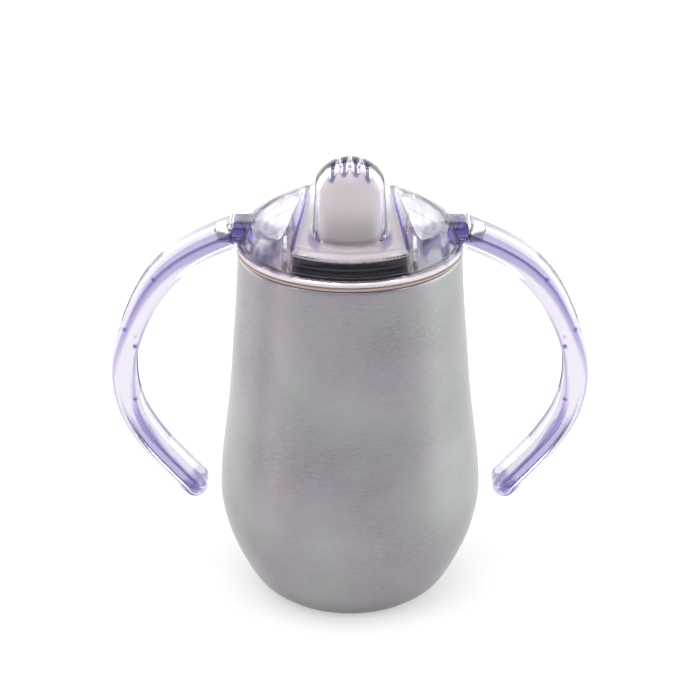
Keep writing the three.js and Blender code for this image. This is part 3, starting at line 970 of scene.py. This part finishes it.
def handle_field(x, y, z):
    """Rounded bar along the route, with grip pockets and a hollow root."""
    away, travel = route_distance(x, z, HANDLE_ROUTE)
    across = np.abs(y) - HANDLE_HALF_DEPTH + HANDLE_CORNER
    radial = away - half_thickness(travel) + HANDLE_CORNER
    outside = np.hypot(np.maximum(across, 0), np.maximum(radial, 0))
    bar = outside + np.minimum(np.maximum(across, radial), 0) - HANDLE_CORNER
    outward = from_arc(x, z) > 0
    for (start, end), outer in ((OUTER_POCKET, True), (INNER_POCKET, False)):
        reach = np.abs(travel / HANDLE_LENGTH - (start + end) / 2) - (end - start) / 2
        floor = half_thickness(travel) - POCKET_SINK - away
        pocket = np.maximum(np.maximum(floor, reach * HANDLE_LENGTH), np.abs(y) - POCKET_HALF_DEPTH)
        pocket = np.where(outward == outer, pocket, 5.0)
        bar = smooth_cut(bar, pocket, 0.6)
    bar = np.maximum(bar, HANDLE_ROOT_X - x)
    bar = smooth_cut(bar, lug_distance(x, y, z) - 0.3, 0.2)
    return smooth_cut(bar, socket_distance(x, y, z), 0.2)


def pocket_dots(travel, outward):
    """Painted shade: dark dots at the ends of the grip pockets, near the edge that each pocket is on.
    """
    dots = np.zeros(np.shape(travel))
    for ends, edge in ((OUTER_POCKET, 2.2), (INNER_POCKET, -2.4)):
        for end in ends:
            spot = np.hypot(travel - end * HANDLE_LENGTH, outward - edge)
            dots = np.maximum(dots, fade(spot, 1.0, 0.5))
    return dots


def handle_painted_shade(x, y, z):
    """Painted violet shade: bands on the front and back faces, along whichever edge faces up, and a
    violet tip.
    """
    away, travel = route_distance(x, z, HANDLE_ROUTE)
    level = np.interp(travel, HANDLE_MIDDLES, HANDLE_LEVEL)
    outward = np.where(from_arc(x, z) > 0, away, -away)
    half = half_thickness(travel)
    from_top = half - outward * np.sign(level)
    from_bottom = 2 * half - from_top
    steep = np.abs(level)
    start = 0.3 + 2.8 * steep
    wide = 0.9 + 2.6 * steep
    band = fade(from_top, start - 0.25, start + 0.15)
    band *= fade(from_top, start + wide + 0.6, start + wide - 0.6)
    line = 0.5 * steep * fade(np.abs(from_top - start - 0.25), 0.5, 0.2)
    thin = fade(from_bottom, 1.1, 0.7) * fade(steep, 0.55, 0.3)
    flat = fade(np.abs(y), HANDLE_HALF_DEPTH - 1.6, HANDLE_HALF_DEPTH - 0.8)
    dots = pocket_dots(travel, outward)
    socket = 0.4 * fade(socket_distance(x, y, z), 0.4, 0.2)
    tip = 0.85 * fade(travel / HANDLE_LENGTH, 0.968, 0.99) * fade(from_top, 0.8, 2.2)
    shade = band * (0.38 + 0.32 * steep) + line
    return np.maximum.reduce([shade * flat, thin * 0.5 * flat, dots * flat, socket, tip])


def handle_frost(x, y, z):
    """The moulded inside of the socket is a little matt."""
    return 0.2 * fade(socket_distance(x, y, z), 0.4, 0.2)


def mirrored(amount, side):
    """The right handle's function of place, or with side -1 its mirror image for the left handle."""
    return lambda x, y, z: amount(side * x, y, z)


def make_handles(material):
    """Both handles, mirror images of each other; mirror-like metal doesn't reflect them."""
    for side, name in ((-1, "left"), (1, "right")):
        low, high = box_mm(f"handle_{name}")
        if side < 0:
            high[0] = -HANDLE_ROOT_X
        else:
            low[0] = HANDLE_ROOT_X
        field = mirrored(handle_field, side)
        bar = field_mesh(f"clear_handle_{name}", field, low, high, HANDLE_FIELD_STEP)
        # Painted violet shade on the bar, and a little matt inside its socket.
        paint(bar, "painted_shade", mirrored(handle_painted_shade, side))
        paint(bar, "frost", mirrored(handle_frost, side))
        bar.visible_glossy = False
        finish_piece(bar, f"{name}_handle", "handle_plastic", material, f"handle_{name}")


# ---------------------------------------------------------------- the scene
make_camera()
make_floor()
make_backdrop()
make_light()
brushed_steel = steel("brushed_steel", green=(0.338, 0.367, 0.348), pink=(0.386, 0.328, 0.381),
                      roughness=0.33, brushing=0.85, grain=0.4)
# The liner's near-black tone is painted shade: the inside of the cup as it lies in shadow.
satin_steel = steel("satin_steel", green=(0.034, 0.024, 0.021), pink=(0.036, 0.024, 0.024),
                    roughness=0.3, brushing=0.3, grain=0.2)
make_body(brushed_steel, satin_steel)
carried_over = {
    "base_plate": steel("dull_steel", (0.30, 0.29, 0.28), (0.32, 0.29, 0.29), 0.42, 0.3, 0.3),
    "vacuum_seal": sealing_glass(),
    "getter": pressed_powder(),
}
for name, material in carried_over.items():
    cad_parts[name].data.materials.clear()
    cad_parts[name].data.materials.append(material)
make_gasket(silicone("blush_silicone", (0.40, 0.30, 0.28), 0.05))
lid_plastic = clear_plastic("lid_plastic", LID_TONE, 0.05, 10, 0.998)
make_lid(lid_plastic)
make_valve(silicone("frosted_silicone", (1.0, 0.975, 0.955), 0.05))
make_handles(clear_plastic("handle_plastic", HANDLE_TONE, 0.0, 36, 0.86))
